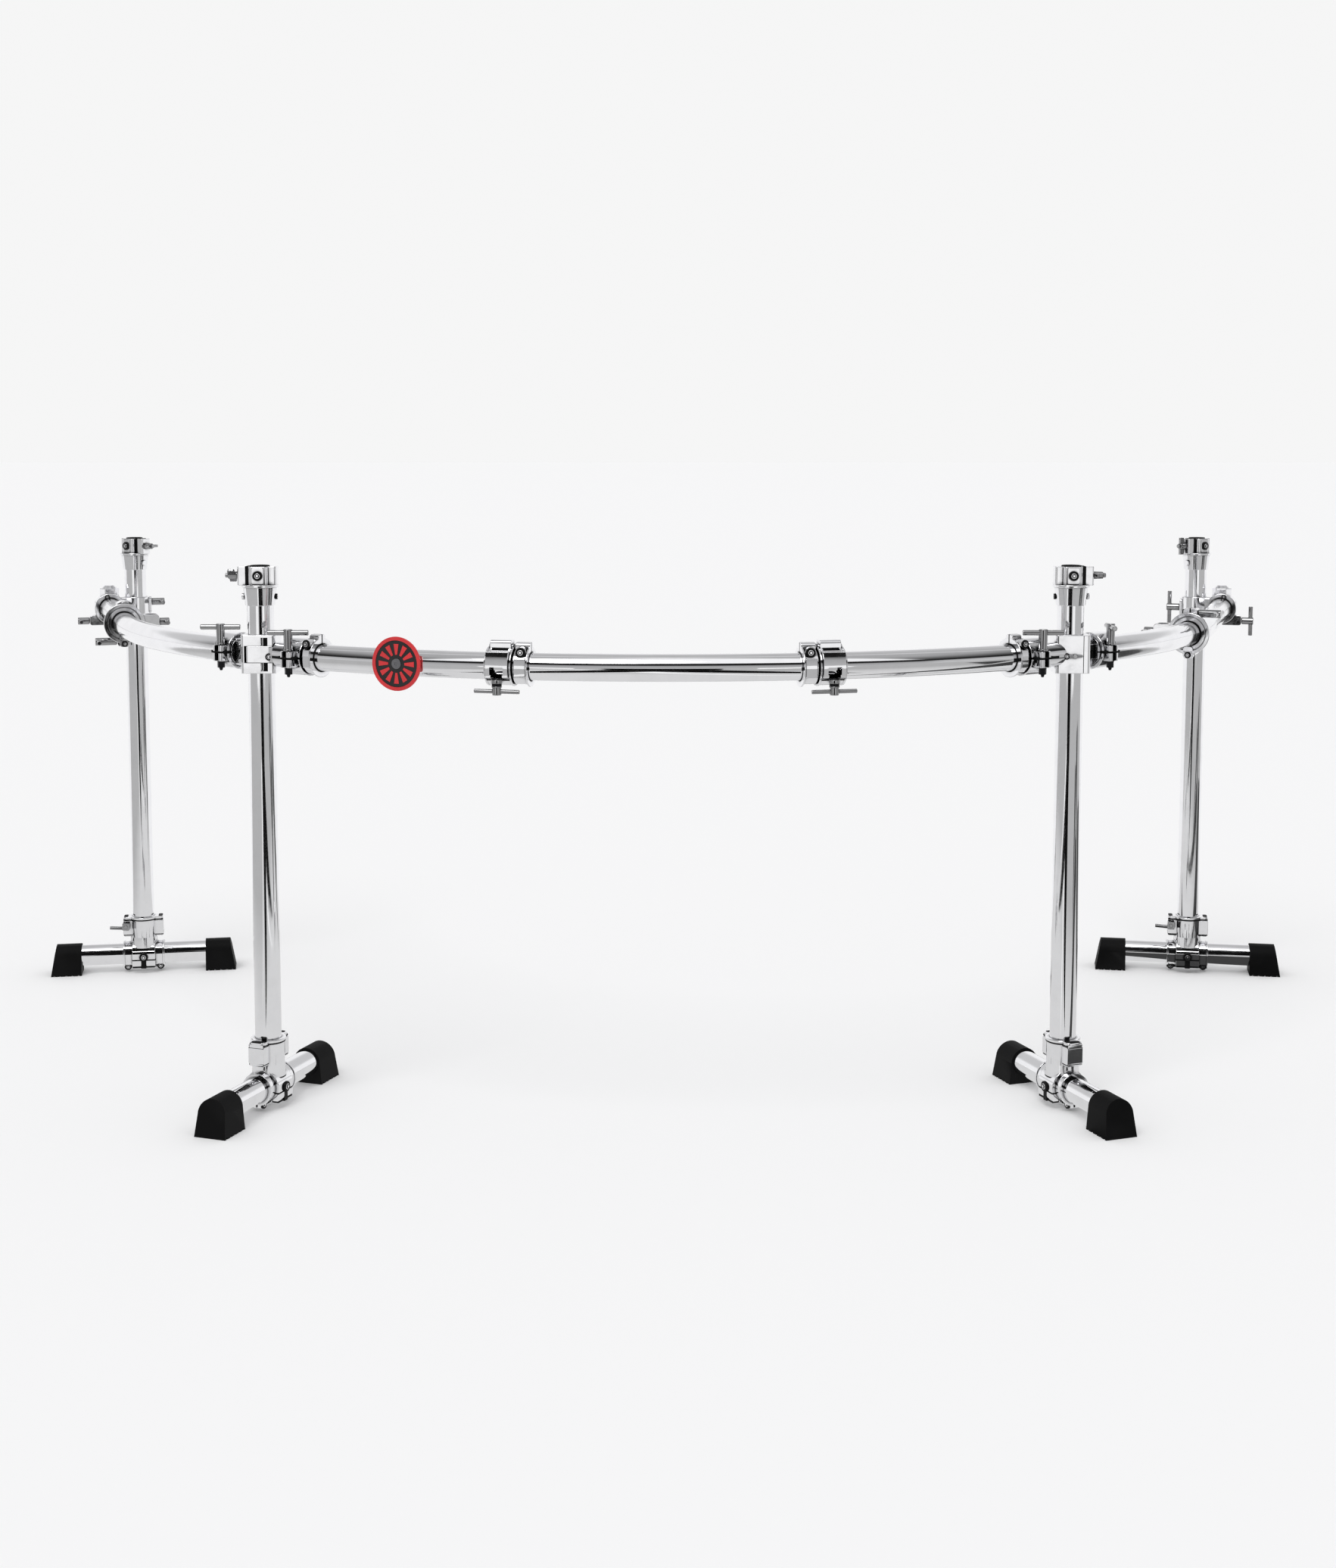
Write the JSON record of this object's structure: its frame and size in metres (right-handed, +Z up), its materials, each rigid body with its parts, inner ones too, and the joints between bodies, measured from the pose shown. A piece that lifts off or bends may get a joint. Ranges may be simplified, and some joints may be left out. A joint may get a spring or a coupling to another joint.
{
  "type": "drum rack frame",
  "caption": "Curved chrome drum rack: a bowed front rail and two curved wing rails on T-footed uprights with clamps, post-top sockets and rubber feet.",
  "frame": {"origin": "on the floor, at the middle of the length and depth of the rack", "axes": "+X to the right as the audience sees the rack, +Y from the audience toward the drummer, +Z up"},
  "size_m": [2.2454, 1.0598, 0.795],
  "materials": {
    "chrome": "polished chrome plate on straight tube",
    "bright_chrome": "polished chrome plate on bent tube",
    "cast_chrome": "chrome plate on a zinc casting, softer edges",
    "black_plastic": "moulded black plastic",
    "rubber": "moulded black rubber, ribbed underneath",
    "badge_red": "printed red rim and black field, no lettering"
  },
  "bodies": {
    "rack": {"front_rail": "chrome", "badge": "badge_red", "left_corner_main_half": "cast_chrome", "right_corner_main_half": "cast_chrome"},
    "left_wing": {"left_wing_rail": "bright_chrome", "left_corner_wing_half": "cast_chrome", "left_rear_clamp": "cast_chrome"},
    "left_corner_main_handle": {"left_corner_main_handle": "cast_chrome"},
    "left_corner_wing_handle": {"left_corner_wing_handle": "cast_chrome"},
    "left_rear_clamp_handle": {"left_rear_clamp_handle": "cast_chrome"},
    "left_front_clamp": {"left_front_clamp": "cast_chrome"},
    "left_front_clamp_handle": {"left_front_clamp_handle": "cast_chrome"},
    "left_lock_ring": {"left_lock_ring": "cast_chrome"},
    "left_wing_clamp": {"left_wing_clamp": "cast_chrome"},
    "right_wing": {"right_wing_rail": "bright_chrome", "right_corner_wing_half": "cast_chrome", "right_rear_clamp": "cast_chrome"},
    "right_corner_main_handle": {"right_corner_main_handle": "cast_chrome"},
    "right_corner_wing_handle": {"right_corner_wing_handle": "cast_chrome"},
    "right_rear_clamp_handle": {"right_rear_clamp_handle": "cast_chrome"},
    "right_front_clamp": {"right_front_clamp": "cast_chrome"},
    "right_front_clamp_handle": {"right_front_clamp_handle": "cast_chrome"},
    "right_lock_ring": {"right_lock_ring": "cast_chrome"},
    "right_wing_clamp": {"right_wing_clamp": "cast_chrome"},
    "front_left_upright": {"front_left_post": "chrome", "front_left_socket_clamp": "cast_chrome", "front_left_socket_bushing": "black_plastic"},
    "front_left_leg": {"front_left_leg_casting": "cast_chrome", "front_left_foot_tube": "chrome", "front_left_outer_foot": "rubber", "front_left_inner_foot": "rubber"},
    "front_left_leg_lever": {"front_left_leg_lever": "cast_chrome"},
    "front_left_wing_bolt": {"front_left_wing_bolt": "cast_chrome"},
    "front_right_upright": {"front_right_post": "chrome", "front_right_socket_clamp": "cast_chrome", "front_right_socket_bushing": "black_plastic"},
    "front_right_leg": {"front_right_leg_casting": "cast_chrome", "front_right_foot_tube": "chrome", "front_right_outer_foot": "rubber", "front_right_inner_foot": "rubber"},
    "front_right_leg_lever": {"front_right_leg_lever": "cast_chrome"},
    "front_right_wing_bolt": {"front_right_wing_bolt": "cast_chrome"},
    "rear_left_upright": {"rear_left_post": "chrome", "rear_left_socket_clamp": "cast_chrome", "rear_left_socket_bushing": "black_plastic"},
    "rear_left_leg": {"rear_left_leg_casting": "cast_chrome", "rear_left_foot_tube": "chrome", "rear_left_outer_foot": "rubber", "rear_left_inner_foot": "rubber"},
    "rear_left_leg_lever": {"rear_left_leg_lever": "cast_chrome"},
    "rear_left_wing_bolt": {"rear_left_wing_bolt": "cast_chrome"},
    "rear_right_upright": {"rear_right_post": "chrome", "rear_right_socket_clamp": "cast_chrome", "rear_right_socket_bushing": "black_plastic"},
    "rear_right_leg": {"rear_right_leg_casting": "cast_chrome", "rear_right_foot_tube": "chrome", "rear_right_outer_foot": "rubber", "rear_right_inner_foot": "rubber"},
    "rear_right_leg_lever": {"rear_right_leg_lever": "cast_chrome"},
    "rear_right_wing_bolt": {"rear_right_wing_bolt": "cast_chrome"}
  },
  "joints": [
    {"name": "left_wing_swing", "type": "hinge", "parent": "rack", "child": "left_wing", "pos_m": [-0.5825, -0.31311, 0.6685], "axis": [0, 0, 1], "range_deg": [-50, 20]},
    {"name": "left_corner_main_handle_turn", "type": "hinge", "parent": "rack", "child": "left_corner_main_handle", "pos_m": [-0.5307, -0.38688, 0.6685], "axis": [0, 0, 1], "range_deg": [-180, 180]},
    {"name": "left_corner_wing_handle_turn", "type": "hinge", "parent": "left_wing", "child": "left_corner_wing_handle", "pos_m": [-0.64379, -0.29822, 0.6685], "axis": [0, 0, 1], "range_deg": [-180, 180]},
    {"name": "left_rear_clamp_handle_turn", "type": "hinge", "parent": "left_wing", "child": "left_rear_clamp_handle", "pos_m": [-0.95638, 0.47694, 0.6785], "axis": [0.9483, 0.3173, 0], "range_deg": [-180, 180]},
    {"name": "left_front_clamp_travel", "type": "hinge", "parent": "rack", "child": "left_front_clamp", "pos_m": [0, 0.4462, 0.6685], "axis": [0, 0, 1], "range_deg": [-5, 0]},
    {"name": "left_front_clamp_handle_turn", "type": "hinge", "parent": "left_front_clamp", "child": "left_front_clamp_handle", "pos_m": [-0.22804, -0.51101, 0.6685], "axis": [0, 0, -1], "range_deg": [-180, 180]},
    {"name": "left_lock_ring_travel", "type": "hinge", "parent": "rack", "child": "left_lock_ring", "pos_m": [0, 0.4462, 0.6685], "axis": [0, 0, 1], "range_deg": [0, 8]},
    {"name": "left_wing_clamp_travel", "type": "slide", "parent": "left_wing", "child": "left_wing_clamp", "axis": [-0.3173, 0.9483, 0], "range_m": [-0.03, 0.19]},
    {"name": "right_wing_swing", "type": "hinge", "parent": "rack", "child": "right_wing", "pos_m": [0.5825, -0.31311, 0.6685], "axis": [0, 0, 1], "range_deg": [-20, 50]},
    {"name": "right_corner_main_handle_turn", "type": "hinge", "parent": "rack", "child": "right_corner_main_handle", "pos_m": [0.5307, -0.38688, 0.6685], "axis": [0, 0, 1], "range_deg": [-180, 180]},
    {"name": "right_corner_wing_handle_turn", "type": "hinge", "parent": "right_wing", "child": "right_corner_wing_handle", "pos_m": [0.64379, -0.29822, 0.6685], "axis": [0, 0, 1], "range_deg": [-180, 180]},
    {"name": "right_rear_clamp_handle_turn", "type": "hinge", "parent": "right_wing", "child": "right_rear_clamp_handle", "pos_m": [0.95638, 0.47694, 0.6685], "axis": [-0.9483, 0.3173, 0], "range_deg": [-180, 180]},
    {"name": "right_front_clamp_travel", "type": "hinge", "parent": "rack", "child": "right_front_clamp", "pos_m": [0, 0.4462, 0.6685], "axis": [0, 0, 1], "range_deg": [0, 15]},
    {"name": "right_front_clamp_handle_turn", "type": "hinge", "parent": "right_front_clamp", "child": "right_front_clamp_handle", "pos_m": [0.22804, -0.51101, 0.6685], "axis": [0, 0, -1], "range_deg": [-180, 180]},
    {"name": "right_lock_ring_travel", "type": "hinge", "parent": "rack", "child": "right_lock_ring", "pos_m": [0, 0.4462, 0.6685], "axis": [0, 0, 1], "range_deg": [-8, 0]},
    {"name": "right_wing_clamp_travel", "type": "hinge", "parent": "right_wing", "child": "right_wing_clamp", "pos_m": [-0.01976, 0.43062, 0.6685], "axis": [0, 0, 1], "range_deg": [-15, 7]},
    {"name": "front_left_height", "type": "slide", "parent": "rack", "child": "front_left_upright", "axis": [0, 0, 1], "range_m": [-0.04, 0.5]},
    {"name": "front_left_leg_turn", "type": "hinge", "parent": "front_left_upright", "child": "front_left_leg", "pos_m": [-0.5825, -0.31311, 0.08], "axis": [0, 0, 1], "range_deg": [-180, 180]},
    {"name": "front_left_leg_lever_turn", "type": "hinge", "parent": "front_left_leg", "child": "front_left_leg_lever", "pos_m": [-0.58288, -0.28051, 0.087], "axis": [-0.9397, 0.342, 0], "range_deg": [-10, 165]},
    {"name": "front_left_wing_bolt_turn", "type": "hinge", "parent": "front_left_upright", "child": "front_left_wing_bolt", "pos_m": [-0.5825, -0.31311, 0.7805], "axis": [-1, 0, 0], "range_deg": [-180, 180]},
    {"name": "front_right_height", "type": "slide", "parent": "rack", "child": "front_right_upright", "axis": [0, 0, 1], "range_m": [-0.04, 0.5]},
    {"name": "front_right_leg_turn", "type": "hinge", "parent": "front_right_upright", "child": "front_right_leg", "pos_m": [0.5825, -0.31311, 0.08], "axis": [0, 0, 1], "range_deg": [-180, 180]},
    {"name": "front_right_leg_lever_turn", "type": "hinge", "parent": "front_right_leg", "child": "front_right_leg_lever", "pos_m": [0.58288, -0.28051, 0.087], "axis": [0.9397, 0.342, 0], "range_deg": [-165, 10]},
    {"name": "front_right_wing_bolt_turn", "type": "hinge", "parent": "front_right_upright", "child": "front_right_wing_bolt", "pos_m": [0.5825, -0.31311, 0.7805], "axis": [1, 0, 0], "range_deg": [-180, 180]},
    {"name": "rear_left_height", "type": "slide", "parent": "left_wing", "child": "rear_left_upright", "axis": [0, 0, 1], "range_m": [-0.04, 0.5]},
    {"name": "rear_left_leg_turn", "type": "hinge", "parent": "rear_left_upright", "child": "rear_left_leg", "pos_m": [-0.95638, 0.47694, 0.08], "axis": [0, 0, 1], "range_deg": [-180, 180]},
    {"name": "rear_left_leg_lever_turn", "type": "hinge", "parent": "rear_left_leg", "child": "rear_left_leg_lever", "pos_m": [-0.98442, 0.46032, 0.087], "axis": [0.1736, -0.9848, 0], "range_deg": [-86, 89]},
    {"name": "rear_left_wing_bolt_turn", "type": "hinge", "parent": "rear_left_upright", "child": "rear_left_wing_bolt", "pos_m": [-0.95638, 0.47694, 0.7805], "axis": [0.8192, -0.5736, 0], "range_deg": [-180, 180]},
    {"name": "rear_right_height", "type": "slide", "parent": "right_wing", "child": "rear_right_upright", "axis": [0, 0, 1], "range_m": [-0.04, 0.5]},
    {"name": "rear_right_leg_turn", "type": "hinge", "parent": "rear_right_upright", "child": "rear_right_leg", "pos_m": [0.95638, 0.47694, 0.08], "axis": [0, 0, 1], "range_deg": [-180, 180]},
    {"name": "rear_right_leg_lever_turn", "type": "hinge", "parent": "rear_right_leg", "child": "rear_right_leg_lever", "pos_m": [0.92435, 0.47091, 0.087], "axis": [-0.1736, -0.9848, 0], "range_deg": [-86, 89]},
    {"name": "rear_right_wing_bolt_turn", "type": "hinge", "parent": "rear_right_upright", "child": "rear_right_wing_bolt", "pos_m": [0.95638, 0.47694, 0.7805], "axis": [-0.8192, -0.5736, 0], "range_deg": [-180, 180]}
  ]
}
